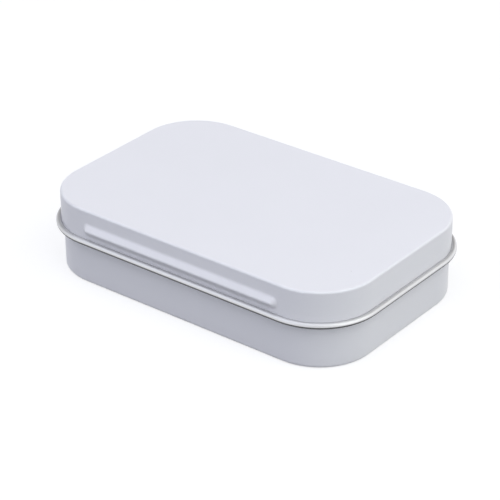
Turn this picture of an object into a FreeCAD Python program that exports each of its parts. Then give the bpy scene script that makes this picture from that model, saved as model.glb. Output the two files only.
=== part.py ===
import FreeCAD, Part
import math
import os
from collections import namedtuple

from FreeCAD import Vector

# A hinged tin pressed from two sheets of tinplate. X runs along the hinge, -Y is the front, +Y the hinge
# side and Z is up. The origin is the middle of the underside. Every size is in millimetres.

# Sheet metal
sheet = 0.25               # gauge of the tinplate

# Pan, measured over the outside of its walls
pan_length = 91.2
pan_width = 59.2
pan_corner = 14.7          # corner radius seen from above
pan_bottom_edge = 1.0      # radius between wall and floor
pan_rim_roll = 0.7         # radius of the rim that is rolled inwards

# Pan floor: a flat band to stand on, and a middle panel raised inside it
foot_band = 4.0
panel_rise = 0.35
panel_step_bend = 0.6      # bend radius of the step, at mid sheet

# Lid
tin_height = 21.2          # closed tin, from its foot to the top of the lid
lid_depth = 8.65           # top of the lid to the middle of its rolled edge
lid_shoulder = 0.6         # radius between top and skirt
lid_edge_roll = 0.8        # radius of the edge that is rolled outwards, which is also the hinge's pin

# Bar pressed outwards in the front of the lid's skirt, above its rolled edge
bar_height = 3.95
bar_proud = 1.1
bar_foot_bend = 1.1        # radius where the bar rises from the skirt
bar_crest_bend = 0.55      # radius along its crest, between two flat flanks
bar_above_roll = 0.6
bar_short_of_corner = 0.4

# Catch rib pressed outwards in the front of the pan, behind the bar
catch_height = 2.0
catch_foot_bend = 0.6
catch_crest_bend = 0.8
catch_short_of_corner = 14.0

# Hinge: two tongues struck from the pan's back wall, wrapped round the lid's rolled edge
tongue_width = 10.0
tongue_from_corner = 6.0
tongue_wrap = 245.0        # degrees that a tongue turns round the pin

# Clearances
side_gap = 0.3             # lid skirt to pan wall, at the two ends
swing_gap = 0.15           # least gap as the lid's front swings past the pan
head_gap = 1.0             # lid's underside to the pan's rim
hinge_play = 0.06          # pin to tongue
slot_gap = 0.3             # tongue to the sides and top of its slot
roll_gap = 0.05            # raw edge of a roll to the wall that it turns back to

# Heights that follow
hinge_height = tin_height - lid_depth
pan_height = tin_height - sheet - head_gap
bar_middle = hinge_height + lid_edge_roll + bar_above_roll + bar_height / 2

# Hinge axis, one pin radius and the play behind the pan's back wall
hinge_y = pan_width / 2 + lid_edge_roll + hinge_play
swing_reach = hinge_y + pan_width / 2


def swing_rise(height):
    """How much further from the hinge a point of the pan's front wall is than the wall at hinge height."""
    return math.hypot(swing_reach, height - hinge_height) - swing_reach


# Room in front for the rim, which is the last thing that the lid's edge passes as it opens
front_gap = swing_rise(pan_height - pan_rim_roll) + swing_gap
catch_proud = front_gap - swing_rise(bar_middle) - swing_gap

origin = Vector(0, 0, 0)
along_hinge = Vector(1, 0, 0)
to_front = Vector(0, -1, 0)
to_back = Vector(0, 1, 0)
up = Vector(0, 0, 1)

# A rounded rectangle seen from above
Plan = namedtuple("Plan", "half_length front back corner")
# A sheet's section is a chain of runs and bends along the middle of the sheet; a bend to the left is positive
Run = namedtuple("Run", "length")
Bend = namedtuple("Bend", "radius degrees")


def grown(plan, amount):
    """The plan with every face moved outwards."""
    return Plan(plan.half_length + amount, plan.front - amount, plan.back + amount, plan.corner + amount)


def corner_centres(plan):
    """Centres of the four corners, anticlockwise from the back right."""
    x = plan.half_length - plan.corner
    front = plan.front + plan.corner
    back = plan.back - plan.corner
    return [Vector(x, back, 0), Vector(-x, back, 0), Vector(-x, front, 0), Vector(x, front, 0)]


def straight_half(plan):
    """Half the straight length of the front or the back."""
    return plan.half_length - plan.corner


def line(start, end):
    return Part.LineSegment(start, end).toShape()


def face_of(edges):
    return Part.Face(Part.Wire(Part.__sortEdges__(edges)))


def sheet_section(start, heading, moves):
    """Section of bent sheet in the XZ plane, drawn from a point in mid sheet along runs and bends."""
    point = Vector(start)
    turn = FreeCAD.Rotation(to_front, heading)
    left_side = []
    right_side = []
    for move in moves:
        ahead = turn.multVec(along_hinge)
        left = turn.multVec(up) * (sheet / 2)
        if isinstance(move, Run):
            end = point + ahead * move.length
            left_side.append(line(point + left, end + left))
            right_side.append(line(point - left, end - left))
            point = end
            continue
        side = math.copysign(1, move.degrees)
        centre = point + turn.multVec(up) * (side * move.radius)
        half = FreeCAD.Rotation(to_front, move.degrees / 2)
        for chain, offset in ((left_side, left), (right_side, -left)):
            first = point + offset
            middle = centre + half.multVec(first - centre)
            last = centre + half.multVec(middle - centre)
            chain.append(Part.Arc(first, middle, last).toShape())
        point = centre + half.multVec(half.multVec(point - centre))
        turn = half.multiply(half).multiply(turn)
    caps = []
    for left_end, right_end in ((left_side[0].firstVertex(), right_side[0].firstVertex()),
                                (left_side[-1].lastVertex(), right_side[-1].lastVertex())):
        caps.append(line(left_end.Point, right_end.Point))
    return face_of(left_side + right_side + caps)


def carried_round(section, plan):
    """Sweep a section, drawn outwards from a corner's axis, round the whole plan."""
    centres = corner_centres(plan)
    pieces = []
    for index, centre in enumerate(centres):
        start = section.copy()
        start.rotate(origin, up, 90 * index)
        start.translate(centre)
        pieces.append(start.revolve(centre, up, 90))
        end = section.copy()
        end.rotate(origin, up, 90 * (index + 1))
        end.translate(centre)
        pieces.append(end.extrude(centres[(index + 1) % 4] - centre))
    return pieces


def plate(plan, bottom):
    """Flat sheet that fills a plan."""
    edges = []
    centres = corner_centres(plan)
    for index, centre in enumerate(centres):
        points = []
        for degrees in (0, 45, 90):
            spoke = FreeCAD.Rotation(up, 90 * index + degrees).multVec(along_hinge)
            points.append(centre + spoke * plan.corner)
        edges.append(Part.Arc(*points).toShape())
        onward = centres[(index + 1) % 4] - centre
        edges.append(line(points[-1], points[-1] + onward))
    filled = face_of(edges)
    filled.translate(up * bottom)
    return filled.extrude(up * sheet)


def joined(pieces):
    return pieces[0].multiFuse(pieces[1:]).removeSplitter()


def roll_degrees(radius):
    """Turn of a rolled edge whose raw end stops just short of the wall that it is rolled from."""
    return 180 + math.degrees(math.acos((sheet + roll_gap) / radius - 1))


def box(x_range, y_range, z_range):
    size = [high - low for low, high in (x_range, y_range, z_range)]
    return Part.makeBox(*size, Vector(x_range[0], y_range[0], z_range[0]))


def pressed_bar(wall, face_y, middle, half_length, half_height, proud, foot_bend, crest_bend):
    """Press a round-ended bar outwards in a front wall whose outer face lies at face_y."""
    # The crest's bend is limited, so that each flank stays flat for one gauge at least
    room = (half_height ** 2 + proud ** 2 - sheet ** 2) / (2 * proud)
    bends = min(foot_bend + crest_bend, room)
    flank = math.sqrt(half_height ** 2 + proud ** 2 - 2 * proud * bends)
    slope = math.degrees(math.atan2(bends, flank) + math.atan2(proud - bends, half_height))
    foot_turn = Bend(foot_bend + sheet / 2, -slope)
    crest_turn = Bend(bends - foot_bend - sheet / 2, slope)
    rise = [foot_turn, Run(flank), crest_turn]
    fall = [crest_turn, Run(flank), foot_turn]
    foot = Vector(-sheet / 2, 0, -half_height)
    half_straight = half_length - half_height
    place = Vector(0, face_y, middle)

    def section(moves):
        shape = sheet_section(foot, 90, moves)
        shape.rotate(origin, up, -90)
        return shape

    body = section(rise + fall)
    body.translate(place - along_hinge * half_straight)
    formed = [body.extrude(along_hinge * (2 * half_straight))]
    window = [box((-half_straight, half_straight), (face_y - sheet, face_y + 2 * sheet),
                  (middle - half_height, middle + half_height))]
    for side in (-1, 1):
        end = place + along_hinge * (side * half_straight)
        half_section = section(rise)
        half_section.translate(end)
        formed.append(half_section.revolve(end, to_back, -180 * side))
        window.append(Part.makeCylinder(half_height, 3 * sheet, end - to_back * sheet, to_back))
    return joined([wall.cut(joined(window))] + formed)


pan_plan = Plan(pan_length / 2, -pan_width / 2, pan_width / 2, pan_corner)
skirt_inside = Plan(pan_plan.half_length + side_gap, pan_plan.front - front_gap,
                    hinge_y - lid_edge_roll, pan_corner + side_gap)
skirt_plan = grown(skirt_inside, sheet)
tongue_x = straight_half(pan_plan) - tongue_from_corner - tongue_width / 2


def hinge_spans():
    """X range that each tongue's slot takes up, left and right."""
    half_slot = tongue_width / 2 + slot_gap
    return [(side * tongue_x - half_slot, side * tongue_x + half_slot) for side in (-1, 1)]


def make_pan():
    """Floor, walls and the rim rolled inwards, notched where the tongues were struck out."""
    step_turn = math.degrees(math.acos(1 - panel_rise / (2 * panel_step_bend)))
    step_run = 2 * panel_step_bend * math.sin(math.radians(step_turn))
    panel_inset = pan_bottom_edge + foot_band + step_run
    wall_run = pan_height - pan_rim_roll - pan_bottom_edge
    section = sheet_section(
        Vector(pan_corner - panel_inset, 0, panel_rise + sheet / 2), 0,
        [Bend(panel_step_bend, -step_turn), Bend(panel_step_bend, step_turn), Run(foot_band),
         Bend(pan_bottom_edge - sheet / 2, 90), Run(wall_run),
         Bend(pan_rim_roll - sheet / 2, roll_degrees(pan_rim_roll))])
    floor = plate(grown(pan_plan, -panel_inset), panel_rise)
    pan = joined(carried_round(section, pan_plan) + [floor])
    depth = (pan_plan.back - 2 * pan_rim_roll - sheet, pan_plan.back + sheet)
    for span in hinge_spans():
        pan = pan.cut(box(span, depth, (hinge_height, pan_height + sheet)))
    return pressed_bar(pan, pan_plan.front, bar_middle, straight_half(pan_plan) - catch_short_of_corner,
                       catch_height / 2, catch_proud, catch_foot_bend, catch_crest_bend)


def make_lid():
    """Top, skirt and the edge rolled outwards, with the front bar and a slot for each tongue."""
    skirt_run = lid_depth - lid_shoulder
    section = sheet_section(
        Vector(skirt_plan.corner - lid_shoulder, 0, tin_height - sheet / 2), 0,
        [Bend(lid_shoulder - sheet / 2, -90), Run(skirt_run),
         Bend(lid_edge_roll - sheet / 2, roll_degrees(lid_edge_roll))])
    top = plate(grown(skirt_plan, -lid_shoulder), tin_height - sheet)
    lid = joined(carried_round(section, skirt_plan) + [top])
    slot_top = hinge_height + lid_edge_roll + hinge_play + sheet + slot_gap
    depth = (skirt_inside.back - sheet, skirt_plan.back + sheet)
    for span in hinge_spans():
        slot = box(span, depth, (hinge_height, slot_top))
        pin = Part.makeCylinder(lid_edge_roll, span[1] - span[0], Vector(span[0], hinge_y, hinge_height),
                                along_hinge)
        lid = lid.cut(slot.cut(pin))
    return pressed_bar(lid, skirt_plan.front, bar_middle, straight_half(skirt_plan) - bar_short_of_corner,
                       bar_height / 2, bar_proud, bar_foot_bend, bar_crest_bend)


def make_tongue(side):
    """The top of the back wall, turned up, over and round the lid's rolled edge."""
    section = sheet_section(Vector(-sheet / 2, 0, hinge_height), 90,
                            [Bend(lid_edge_roll + hinge_play + sheet / 2, -tongue_wrap)])
    section.rotate(origin, up, 90)
    section.translate(Vector(side * tongue_x - tongue_width / 2, pan_plan.back, 0))
    return section.extrude(along_hinge * tongue_width)


nodes = {
    "base_pan": make_pan(),
    "lid": make_lid(),
    "hinge_tongue_left": make_tongue(-1),
    "hinge_tongue_right": make_tongue(1),
}

os.makedirs("parts", exist_ok=True)
for name, shape in nodes.items():
    shape.exportStep("parts/" + name + ".step")
    extent = shape.optimalBoundingBox(False)
    print(name, "valid" if shape.isValid() else "not valid", len(shape.Solids), "solid,",
          len(shape.Faces), "faces,", round(shape.Volume, 1), "mm3, from",
          [round(value, 3) for value in (extent.XMin, extent.YMin, extent.ZMin)], "to",
          [round(value, 3) for value in (extent.XMax, extent.YMax, extent.ZMax)])
print("front gap", round(front_gap, 3), "catch proud", round(catch_proud, 3))
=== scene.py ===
import math

import bpy
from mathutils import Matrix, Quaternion, Vector


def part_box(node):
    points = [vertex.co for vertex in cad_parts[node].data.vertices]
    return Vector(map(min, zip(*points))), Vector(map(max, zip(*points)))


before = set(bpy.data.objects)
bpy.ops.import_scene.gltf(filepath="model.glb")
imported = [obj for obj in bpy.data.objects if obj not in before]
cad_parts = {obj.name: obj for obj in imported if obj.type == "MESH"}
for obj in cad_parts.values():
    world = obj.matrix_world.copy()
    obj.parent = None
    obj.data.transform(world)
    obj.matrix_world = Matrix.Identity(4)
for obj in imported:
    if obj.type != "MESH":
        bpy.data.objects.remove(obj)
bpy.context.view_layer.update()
lidLow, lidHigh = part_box("lid")
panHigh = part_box("base_pan")[1]
print("frame loaded:", ", ".join(sorted(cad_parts)))

# the pressed sheet, in metres
tin = {
    "sheet": 0.00025,
    "edgeRoll": 0.0008,      # outer radius of the lid's rolled edge
    "rimRoll": 0.0007,       # outer radius of the pan's rolled rim
    "shoulder": 0.0006,      # bend between the lid's top and its skirt
    "lidCorner": 0.01525,    # corners seen from above, outside
    "panCorner": 0.0147,
    "bottomBend": 0.001,     # bend between the pan's wall and its floor
}
rollReach = 2 * tin["edgeRoll"] - tin["sheet"]      # how far the roll stands out from the skirt
rollTop = lidLow.z + 2 * tin["edgeRoll"]
skirtPlan = {"Half Length": lidHigh.x - rollReach, "Front": lidLow.y + rollReach,
             "Back": lidHigh.y - rollReach, "Corner": tin["lidCorner"]}
panPlan = {"Half Length": panHigh.x, "Front": -panHigh.y, "Back": panHigh.y, "Corner": tin["panCorner"]}
hair = 0.00004               # slack of the masks that follow the sheet's faces
facingSlack = 0.02           # a face is outside when it turns outwards by more than this
inMillimetres = 1000.0
micrometre = 0.000001
noiseMiddle = 0.5
nodeGrid = {"columns": 12, "across": 200, "down": 220}      # how the node editor is laid out


# node helpers

def addNode(tree, kind, **settings):
    made = tree.nodes.new(kind)
    row, column = divmod(len(tree.nodes), nodeGrid["columns"])
    made.location = (nodeGrid["across"] * column, -nodeGrid["down"] * row)
    for key, value in settings.items():
        setattr(made, key, value)
    return made


def feed(tree, socket, value):
    if isinstance(value, bpy.types.NodeSocket):
        tree.links.new(value, socket)
    elif socket.type == "RGBA":
        socket.default_value = (*value, 1.0)
    else:
        socket.default_value = value


def calc(tree, operation, *values):
    made = addNode(tree, "ShaderNodeMath", operation=operation)
    for socket, value in zip(made.inputs, values):
        feed(tree, socket, value)
    return made.outputs[0]


def addUp(tree, *values):
    total = values[0]
    for value in values[1:]:
        total = calc(tree, "ADD", total, value)
    return total


def swing(tree, value, reach):
    return calc(tree, "MULTIPLY_ADD", value, 2 * reach, -reach)      # 0 to 1 becomes -reach to reach


def scaleColour(tree, colour, factor):
    made = addNode(tree, "ShaderNodeVectorMath", operation="SCALE")
    feed(tree, made.inputs[0], colour)
    feed(tree, made.inputs["Scale"], factor)
    return made.outputs[0]


def mixValue(tree, factor, low, high):
    made = addNode(tree, "ShaderNodeMix", data_type="FLOAT")
    for socket, value in zip((made.inputs[0], made.inputs[2], made.inputs[3]), (factor, low, high)):
        feed(tree, socket, value)
    return made.outputs[0]


def mixColour(tree, factor, low, high):
    made = addNode(tree, "ShaderNodeMix", data_type="RGBA")
    for socket, value in zip((made.inputs[0], made.inputs[6], made.inputs[7]), (factor, low, high)):
        feed(tree, socket, value)
    return made.outputs[2]


# a soft step from 0 at start to 1 at end, upwards or downwards
def ease(tree, value, start, end):
    made = addNode(tree, "ShaderNodeMapRange", interpolation_type="SMOOTHSTEP")
    for socket, number in zip(made.inputs, (value, start, end)):
        feed(tree, socket, number)
    return made.outputs[0]


def noise(tree, place, perMetre, detail=2.0):
    made = addNode(tree, "ShaderNodeTexNoise")
    feed(tree, made.inputs["Vector"], place)
    feed(tree, made.inputs["Scale"], perMetre)
    made.inputs["Detail"].default_value = detail
    return made.outputs[0]


def split(tree, vector):
    made = addNode(tree, "ShaderNodeSeparateXYZ")
    feed(tree, made.inputs[0], vector)
    return made.outputs


def combine(tree, *values):
    made = addNode(tree, "ShaderNodeCombineXYZ")
    for socket, value in zip(made.inputs, values):
        feed(tree, socket, value)
    return made.outputs[0]


def objectPlace(tree):
    return addNode(tree, "ShaderNodeTexCoord").outputs["Object"]


def objectNormal(tree, kind):
    turned = addNode(tree, "ShaderNodeVectorTransform", vector_type="NORMAL",
                     convert_from="WORLD", convert_to="OBJECT")
    tree.links.new(addNode(tree, "ShaderNodeNewGeometry").outputs[kind], turned.inputs[0])
    return turned.outputs[0]


def newGroup(name, inputs, outputs):
    group = bpy.data.node_groups.new(name, "ShaderNodeTree")
    for label, start in inputs.items():
        kind = "NodeSocketColor" if isinstance(start, tuple) else "NodeSocketFloat"
        socket = group.interface.new_socket(name=label, in_out="INPUT", socket_type=kind)
        socket.default_value = (*start, 1.0) if isinstance(start, tuple) else start
    for label in outputs:
        kind = "NodeSocketColor" if label == "Colour" else "NodeSocketFloat"
        group.interface.new_socket(name=label, in_out="OUTPUT", socket_type=kind)
    given = addNode(group, "NodeGroupInput").outputs
    return group, given, addNode(group, "NodeGroupOutput").inputs


def useGroup(tree, group, values=None):
    made = addNode(tree, "ShaderNodeGroup", node_tree=group)
    for label, value in (values or {}).items():
        feed(tree, made.inputs[label], value)
    return made.outputs


# which side of the sheet shows: Sideways is above 0 on walls that face away from the middle of the tin,
# and Up is above 0 on faces that look up
def makeSheetSides():
    tree, out = newGroup("sheetSides", {}, ("Sideways", "Up"))[::2]      # it has no inputs
    facing = split(tree, objectNormal(tree, "True Normal"))
    place = split(tree, objectPlace(tree))
    along = calc(tree, "MULTIPLY", facing["X"], place["X"])
    outward = calc(tree, "MULTIPLY_ADD", facing["Y"], place["Y"], along)
    feed(tree, out["Sideways"], calc(tree, "MULTIPLY", outward, inMillimetres))
    feed(tree, out["Up"], facing["Z"])
    return tree


# distance outside a rounded rectangle that is seen from above
def makePlanDistance():
    sizes = dict.fromkeys(("Half Length", "Front", "Back", "Corner"), 0.0)
    tree, given, out = newGroup("planDistance", sizes, ("Distance",))
    place = split(tree, objectPlace(tree))
    middle = calc(tree, "MULTIPLY", calc(tree, "ADD", given["Front"], given["Back"]), 0.5)
    halfWidth = calc(tree, "SUBTRACT", given["Back"], middle)
    beyond = []
    for coordinate, centre, half in ((place["X"], 0.0, given["Half Length"]),
                                     (place["Y"], middle, halfWidth)):
        reach = calc(tree, "ABSOLUTE", calc(tree, "SUBTRACT", coordinate, centre))
        beyond.append(calc(tree, "SUBTRACT", reach, calc(tree, "SUBTRACT", half, given["Corner"])))
    length = addNode(tree, "ShaderNodeVectorMath", operation="LENGTH")
    feed(tree, length.inputs[0], combine(tree, *(calc(tree, "MAXIMUM", value, 0.0) for value in beyond)))
    inside = calc(tree, "MINIMUM", calc(tree, "MAXIMUM", *beyond), 0.0)
    total = calc(tree, "ADD", length.outputs["Value"], inside)
    feed(tree, out["Distance"], calc(tree, "SUBTRACT", total, given["Corner"]))
    return tree


# slow waves that pressing leaves in a flat sheet, in micrometres
def makeSheetWaves():
    tree, given, out = newGroup("sheetWaves", {"Per Metre": 30.0, "Reach": 20.0}, ("Height",))
    level = noise(tree, objectPlace(tree), given["Per Metre"], detail=1.0)
    wave = calc(tree, "SUBTRACT", level, noiseMiddle)
    feed(tree, out["Height"], calc(tree, "MULTIPLY", wave, given["Reach"]))
    return tree


# lines of the rolling mill, along the tin, turned up the end walls with the sheet
def makeRollingLines():
    tree, given, out = newGroup("rollingLines", {"Per Metre": 1500.0, "Shortness": 0.012}, ("Lines",))
    place = split(tree, objectPlace(tree))
    endways = calc(tree, "ABSOLUTE", split(tree, objectNormal(tree, "Normal"))["X"])
    across = calc(tree, "MULTIPLY_ADD", place["Z"], calc(tree, "SUBTRACT", 1.0, endways), place["Y"])
    along = calc(tree, "MULTIPLY", place["X"], given["Shortness"])
    lines = noise(tree, combine(tree, along, across, 0.0), given["Per Metre"], detail=4.0)
    feed(tree, out["Lines"], lines)
    return tree


# fine scratches of handling, in two directions and in patches; turns are in radians
scratchLook = {"turns": (0.5, 1.9), "lean": 0.3, "tilt": 0.2, "stretch": (0.08, 1.0, 1.0),
               "patchesPerMetre": 110.0, "patchEdge": (0.5, 0.65)}


def makeHairlines():
    tree, given, out = newGroup("hairlines", {"Per Metre": 60.0, "Thickness": 0.006}, ("Marks",))
    marks = 0.0
    for turn in scratchLook["turns"]:
        turned = addNode(tree, "ShaderNodeMapping")
        turned.inputs["Rotation"].default_value = (scratchLook["lean"] * turn, scratchLook["tilt"], turn)
        turned.inputs["Scale"].default_value = scratchLook["stretch"]
        feed(tree, turned.inputs["Vector"], objectPlace(tree))
        level = calc(tree, "SUBTRACT", noise(tree, turned.outputs[0], given["Per Metre"]), noiseMiddle)
        line = calc(tree, "LESS_THAN", calc(tree, "ABSOLUTE", level), given["Thickness"])
        marks = calc(tree, "MAXIMUM", marks, line)
    cloud = noise(tree, objectPlace(tree), scratchLook["patchesPerMetre"])
    patch = ease(tree, cloud, *scratchLook["patchEdge"])
    feed(tree, out["Marks"], calc(tree, "MULTIPLY", marks, patch))
    return tree


# small nibs of dust caught in a coat
def makeSpecks():
    tree, given, out = newGroup("specks", {"Per Metre": 150.0, "Size": 0.035, "Share": 0.3}, ("Dots",))
    cells = addNode(tree, "ShaderNodeTexVoronoi")
    feed(tree, cells.inputs["Vector"], objectPlace(tree))
    feed(tree, cells.inputs["Scale"], given["Per Metre"])
    pick = calc(tree, "LESS_THAN", split(tree, cells.outputs["Color"])["X"], given["Share"])
    size = calc(tree, "MULTIPLY", split(tree, cells.outputs["Color"])["Y"], given["Size"])
    dot = calc(tree, "LESS_THAN", cells.outputs["Distance"], size)
    feed(tree, out["Dots"], calc(tree, "MULTIPLY", dot, pick))
    return tree


sheetSides = makeSheetSides()
planDistance = makePlanDistance()
sheetWaves = makeSheetWaves()
rollingLines = makeRollingLines()
hairlines = makeHairlines()
specks = makeSpecks()
print("shared effects made")


# satin white coat, baked on: faint mottle, a slight orange peel and a few nibs; heights in micrometres
enamelLook = {"Colour": (0.85, 0.845, 0.88), "Roughness": 0.36}
enamelDetail = {
    "mottlePerMetre": 45.0, "mottleTone": 0.012, "mottleGloss": 0.05,
    "grainPerMetre": 2600.0, "grainTone": 0.012,
    "peelPerMetre": 900.0, "peelHeight": 1.6,
    "nibStrength": 0.22, "nibColour": (0.3, 0.3, 0.3),
    "scratchGloss": 0.06,
}


def makeEnamelCoat():
    look = enamelDetail
    tree, given, out = newGroup("enamelCoat", enamelLook, ("Colour", "Roughness", "Height"))
    place = objectPlace(tree)
    mottle = noise(tree, place, look["mottlePerMetre"], detail=3.0)
    grain = noise(tree, place, look["grainPerMetre"])
    peel = noise(tree, place, look["peelPerMetre"], detail=1.0)
    dots = useGroup(tree, specks)["Dots"]
    marks = useGroup(tree, hairlines)["Marks"]
    tone = addUp(tree, swing(tree, mottle, look["mottleTone"]), swing(tree, grain, look["grainTone"]), 1.0)
    clean = scaleColour(tree, given["Colour"], tone)
    nibs = calc(tree, "MULTIPLY", dots, look["nibStrength"])
    feed(tree, out["Colour"], mixColour(tree, nibs, clean, look["nibColour"]))
    gloss = addUp(tree, swing(tree, mottle, look["mottleGloss"]), given["Roughness"])
    feed(tree, out["Roughness"], calc(tree, "MULTIPLY_ADD", marks, look["scratchGloss"], gloss))
    waves = useGroup(tree, sheetWaves)["Height"]
    feed(tree, out["Height"], addUp(tree, waves, swing(tree, peel, look["peelHeight"]), dots))
    return tree


# bright tinplate under clear lacquer: rolling lines, cloudy stains and scratches; heights in micrometres
tinplateLook = {"Colour": (0.64, 0.64, 0.65), "Roughness": 0.27}
tinplateDetail = {
    "lineTone": 0.06, "lineGloss": 0.05, "lineDepth": 0.25,
    "cloudsPerMetre": 70.0, "cloudTone": 0.04, "cloudGloss": 0.05,
    "scratches": {"Per Metre": 140.0, "Thickness": 0.004}, "scratchGloss": 0.06,
    "waves": {"Reach": 12.0},
}


def makeTinplateSheet():
    look = tinplateDetail
    tree, given, out = newGroup("tinplateSheet", tinplateLook, ("Colour", "Roughness", "Height"))
    lines = useGroup(tree, rollingLines)["Lines"]
    cloud = noise(tree, objectPlace(tree), look["cloudsPerMetre"], detail=4.0)
    marks = useGroup(tree, hairlines, look["scratches"])["Marks"]
    tone = addUp(tree, swing(tree, lines, look["lineTone"]), swing(tree, cloud, look["cloudTone"]), 1.0)
    feed(tree, out["Colour"], scaleColour(tree, given["Colour"], tone))
    gloss = addUp(tree, swing(tree, lines, look["lineGloss"]), swing(tree, cloud, look["cloudGloss"]),
                  given["Roughness"])
    feed(tree, out["Roughness"], calc(tree, "MULTIPLY_ADD", marks, look["scratchGloss"], gloss))
    waves = useGroup(tree, sheetWaves, look["waves"])["Height"]
    feed(tree, out["Height"], addUp(tree, waves, swing(tree, lines, look["lineDepth"])))
    return tree


enamelCoat = makeEnamelCoat()
tinplateSheet = makeTinplateSheet()


def newMaterial(name):
    material = bpy.data.materials.new(name)
    material.use_nodes = True
    tree = material.node_tree
    tree.nodes.clear()
    surface = addNode(tree, "ShaderNodeBsdfPrincipled")
    output = addNode(tree, "ShaderNodeOutputMaterial")
    tree.links.new(surface.outputs[0], output.inputs["Surface"])
    return material, tree, surface.inputs


def bump(tree, surface, height):
    made = addNode(tree, "ShaderNodeBump")
    made.inputs["Distance"].default_value = micrometre
    feed(tree, made.inputs["Height"], height)
    feed(tree, surface["Normal"], made.outputs[0])


# one sheet, enamelled where paint is 1 and bare where it is 0; shade scales the bare side's colour (its own
# tone inside, and the painted shade under the lid's roll), and dull adds to its roughness
def coatSheet(tree, surface, paint, shade, dull):
    coat = useGroup(tree, enamelCoat, enamelLook)
    bare = useGroup(tree, tinplateSheet, tinplateLook)
    shaded = scaleColour(tree, bare["Colour"], shade)
    feed(tree, surface["Base Color"], mixColour(tree, paint, shaded, coat["Colour"]))
    bareGloss = calc(tree, "ADD", bare["Roughness"], dull)
    feed(tree, surface["Roughness"], mixValue(tree, paint, bareGloss, coat["Roughness"]))
    feed(tree, surface["Metallic"], calc(tree, "SUBTRACT", 1.0, paint))
    bump(tree, surface, mixValue(tree, paint, bare["Height"], coat["Height"]))


# the lid is white outside; its edge is rolled outwards, so the roll shows the bare side of the sheet;
# the roll's outer underside is darkened with painted shade, for the dark line that is seen under it
lidLook = {
    "inside": 0.78,               # tone of the bare side inside the lid
    "rollDull": 0.20,             # roughness added on the roll
    "underRollPaintedShade": 0.12,            # tone of the painted shade on the roll's outer underside
    "darkFrom": (0.12, -0.2),     # Up where the dark begins and where it is full
    "darkTo": (-0.98, -0.75),     # Up where it has gone, at the lowest line, and where it is full
}


def finishLid():
    material, tree, surface = newMaterial("lidSheet")
    sides = useGroup(tree, sheetSides)
    outside = calc(tree, "GREATER_THAN", calc(tree, "ADD", sides["Sideways"], sides["Up"]), facingSlack)
    distance = useGroup(tree, planDistance, skirtPlan)["Distance"]
    height = split(tree, objectPlace(tree))["Z"]
    shoulder = calc(tree, "GREATER_THAN", height, lidHigh.z - tin["shoulder"] - hair)
    onSkirt = calc(tree, "MAXIMUM", shoulder, calc(tree, "GREATER_THAN", distance, -hair))
    roll = calc(tree, "MULTIPLY", calc(tree, "LESS_THAN", height, rollTop + hair),
                calc(tree, "GREATER_THAN", distance, hair / 2))
    paint = calc(tree, "MULTIPLY", calc(tree, "MULTIPLY", outside, onSkirt),
                 calc(tree, "SUBTRACT", 1.0, roll))
    # painted shade: the roll's outer underside is darkened, from a little above its middle to near its
    # lowest line
    paintedShadeBand = calc(tree, "MULTIPLY", ease(tree, sides["Up"], *lidLook["darkFrom"]),
                     ease(tree, sides["Up"], *lidLook["darkTo"]))
    outerSide = calc(tree, "GREATER_THAN", sides["Sideways"], 0.0)
    rollShade = mixValue(tree, calc(tree, "MULTIPLY", paintedShadeBand, outerSide), 1.0, lidLook["underRollPaintedShade"])
    shade = mixValue(tree, roll, lidLook["inside"], rollShade)
    coatSheet(tree, surface, paint, shade, calc(tree, "MULTIPLY", roll, lidLook["rollDull"]))
    return material


# the pan is white outside; its rim is rolled inwards, so the rim is white too; the standing edge and the
# crest of the catch rib are rubbed through in places
panLook = {
    "inside": 0.84,                    # tone of the bare side inside the pan
    "panelInset": 1.5,                 # the floor panel's step is further in than this, in bottom bends
    "standingInset": 2.2,              # the rubbed edge reaches in to here, in bottom bends
    "standingHeight": 0.00012,         # and up to here, in metres
    "ribCrest": (0.00015, 0.00024),    # metres out from the wall where a rub can begin and be full
    "rubsPerMetre": 420.0,
    "edgeRub": (0.61, 0.67),           # levels of the noise where a rub begins and is full
    "ribRub": (0.45, 0.53),
}


def finishPan():
    material, tree, surface = newMaterial("panSheet")
    bend = tin["bottomBend"]
    sides = useGroup(tree, sheetSides)
    distance = useGroup(tree, planDistance, panPlan)["Distance"]
    height = split(tree, objectPlace(tree))["Z"]
    bottom = calc(tree, "LESS_THAN", height, bend + hair)
    # the underside of the step round the floor panel faces inwards, so Sideways changes sign there
    panelStep = calc(tree, "MULTIPLY", bottom,
                     calc(tree, "LESS_THAN", distance, -panLook["panelInset"] * bend))
    sideways = calc(tree, "MULTIPLY", sides["Sideways"], calc(tree, "MULTIPLY_ADD", panelStep, -2.0, 1.0))
    outside = calc(tree, "GREATER_THAN", calc(tree, "SUBTRACT", sideways, sides["Up"]), facingSlack)
    onWall = calc(tree, "MAXIMUM", bottom, calc(tree, "GREATER_THAN", distance, -hair))
    rim = calc(tree, "GREATER_THAN", height, panHigh.z - 2 * tin["rimRoll"] - hair)
    patches = noise(tree, objectPlace(tree), panLook["rubsPerMetre"], detail=3.0)
    standing = calc(tree, "LESS_THAN", height, panLook["standingHeight"])
    nearBend = ease(tree, distance, -panLook["standingInset"] * bend, -bend)
    edgeRub = calc(tree, "MULTIPLY", calc(tree, "MULTIPLY", standing, nearBend),
                   ease(tree, patches, *panLook["edgeRub"]))
    ribRub = calc(tree, "MULTIPLY", ease(tree, distance, *panLook["ribCrest"]),
                  ease(tree, patches, *panLook["ribRub"]))
    rubbed = calc(tree, "MAXIMUM", edgeRub, ribRub)
    painted = calc(tree, "MAXIMUM", calc(tree, "MULTIPLY", outside, onWall), rim)
    paint = calc(tree, "MULTIPLY", painted, calc(tree, "SUBTRACT", 1.0, rubbed))
    coatSheet(tree, surface, paint, panLook["inside"], 0.0)
    return material


# the hinge tongues show the bare side
tongueLook = {"Colour": (0.66, 0.66, 0.65), "Roughness": 0.32}


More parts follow.
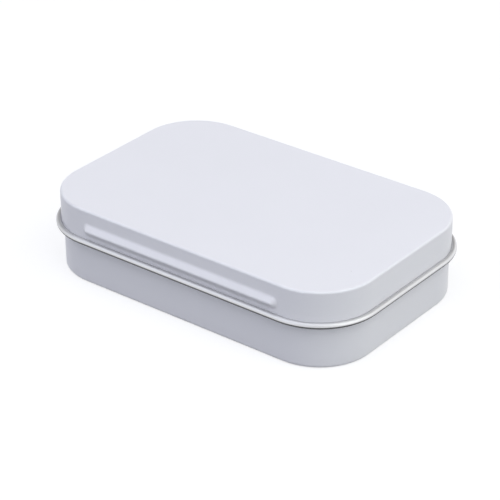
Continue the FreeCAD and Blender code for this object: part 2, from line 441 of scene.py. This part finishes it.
def finishTongues():
    material, tree, surface = newMaterial("tongueSheet")
    bare = useGroup(tree, tinplateSheet, tongueLook)
    feed(tree, surface["Base Color"], bare["Colour"])
    feed(tree, surface["Roughness"], bare["Roughness"])
    surface["Metallic"].default_value = 1.0
    bump(tree, surface, bare["Height"])
    return material


tongueFinish = finishTongues()
for nodeName, sheetFinish in (("lid", finishLid()), ("base_pan", finishPan()),
                              ("hinge_tongue_left", tongueFinish), ("hinge_tongue_right", tongueFinish)):
    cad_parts[nodeName].material_slots[0].material = sheetFinish
print("finishes set")


# rays that see the white surroundings: the camera's, and those that metal reflects or glass lets through
def seenRays(tree):
    rays = addNode(tree, "ShaderNodeLightPath").outputs
    return calc(tree, "MAXIMUM", calc(tree, "MAXIMUM", rays["Is Camera Ray"], rays["Is Glossy Ray"]),
                rays["Is Transmission Ray"])


# plain pale floor; lift is the white that seen rays get on top of the lit colour
floorLook = {"size": 6.0, "colour": (0.32, 0.324, 0.336), "roughness": 0.9, "specular": 0.1, "lift": 0.73}


def makeFloor():
    half = floorLook["size"] / 2
    corners = [(-half, -half, 0), (half, -half, 0), (half, half, 0), (-half, half, 0)]
    mesh = bpy.data.meshes.new("floor")
    mesh.from_pydata(corners, [], [(0, 1, 2, 3)])
    floor = bpy.data.objects.new("floor", mesh)
    bpy.context.scene.collection.objects.link(floor)
    material, tree, surface = newMaterial("paleFloor")
    surface["Base Color"].default_value = (*floorLook["colour"], 1.0)
    surface["Roughness"].default_value = floorLook["roughness"]
    surface["Specular IOR Level"].default_value = floorLook["specular"]
    surface["Emission Color"].default_value = (1.0, 1.0, 1.0, 1.0)
    feed(tree, surface["Emission Strength"], calc(tree, "MULTIPLY", seenRays(tree), floorLook["lift"]))
    mesh.materials.append(material)


# wide soft lamps that face the tin; places and sides are in metres
lamps = {
    "front": {"place": (-0.20, -0.50, 0.84), "side": 1.8, "watts": 10.8, "colour": (0.845, 0.88, 0.99)},
    "right": {"place": (0.82, 0.03, 0.575), "side": 1.2, "watts": 6.0, "colour": (0.96, 1.0, 0.98)},
    "above": {"place": (0.0, 0.0, 1.2), "side": 1.8, "watts": 3.8, "colour": (1.0, 0.95, 0.86)},
    "backFill": {"place": (0.30, 0.86, 0.41), "side": 1.0, "watts": 2.0, "colour": (1.0, 1.0, 1.0)},
}


def makeLamps():
    for name, look in lamps.items():
        data = bpy.data.lights.new(name, "AREA")
        data.shape = "SQUARE"
        data.size = look["side"]
        data.energy = look["watts"]
        data.color = look["colour"]
        lamp = bpy.data.objects.new(name, data)
        lamp.location = look["place"]
        lamp.rotation_mode = "QUATERNION"
        lamp.rotation_quaternion = Vector(look["place"]).to_track_quat("Z", "Y")
        bpy.context.scene.collection.objects.link(lamp)


# a dim sky lights the tin; seen rays get a pale one, white at the horizon and darker overhead
skyLook = {"dim": (0.124, 0.126, 0.142), "pale": (1.0, 1.0, 1.0), "fade": (0.15, 0.65), "overhead": 0.12}


def makeSky():
    world = bpy.data.worlds.new("studio")
    world.use_nodes = True
    tree = world.node_tree
    dim = tree.nodes["Background"]
    feed(tree, dim.inputs["Color"], skyLook["dim"])
    pale = addNode(tree, "ShaderNodeBackground")
    rise = split(tree, addNode(tree, "ShaderNodeTexCoord").outputs["Generated"])["Z"]
    strength = mixValue(tree, ease(tree, rise, *skyLook["fade"]), 1.0, skyLook["overhead"])
    feed(tree, pale.inputs["Strength"], strength)
    feed(tree, pale.inputs["Color"], skyLook["pale"])
    either = addNode(tree, "ShaderNodeMixShader")
    feed(tree, either.inputs[0], seenRays(tree))
    tree.links.new(dim.outputs[0], either.inputs[1])
    tree.links.new(pale.outputs[0], either.inputs[2])
    tree.links.new(either.outputs[0], tree.nodes["World Output"].inputs["Surface"])
    bpy.context.scene.world = world


# the photograph's view, fitted to the tin's outline; degrees and metres, lens and sensor in millimetres
cameraLook = {"azimuth": 37.8869, "elevation": 29.0853, "roll": -0.0675, "distance": 0.530701,
              "aim": (-0.002689, 0.001525, 0.005132), "lens": 150.6915, "sensor": 36.0, "clip": (0.01, 50.0)}


def makeCamera():
    azimuth = math.radians(cameraLook["azimuth"])
    elevation = math.radians(cameraLook["elevation"])
    back = Vector((math.sin(azimuth) * math.cos(elevation), -math.cos(azimuth) * math.cos(elevation),
                   math.sin(elevation)))
    data = bpy.data.cameras.new("photoView")
    data.lens = cameraLook["lens"]
    data.sensor_width = cameraLook["sensor"]
    data.clip_start, data.clip_end = cameraLook["clip"]
    camera = bpy.data.objects.new("photoView", data)
    camera.location = Vector(cameraLook["aim"]) + back * cameraLook["distance"]
    camera.rotation_mode = "QUATERNION"
    roll = Quaternion((0, 0, 1), math.radians(cameraLook["roll"]))
    camera.rotation_quaternion = back.to_track_quat("Z", "Y") @ roll
    bpy.context.scene.collection.objects.link(camera)
    bpy.context.scene.camera = camera


makeFloor()
makeLamps()
makeSky()
makeCamera()
bpy.context.scene.view_settings.view_transform = "Standard"
print("floor, light and camera set")
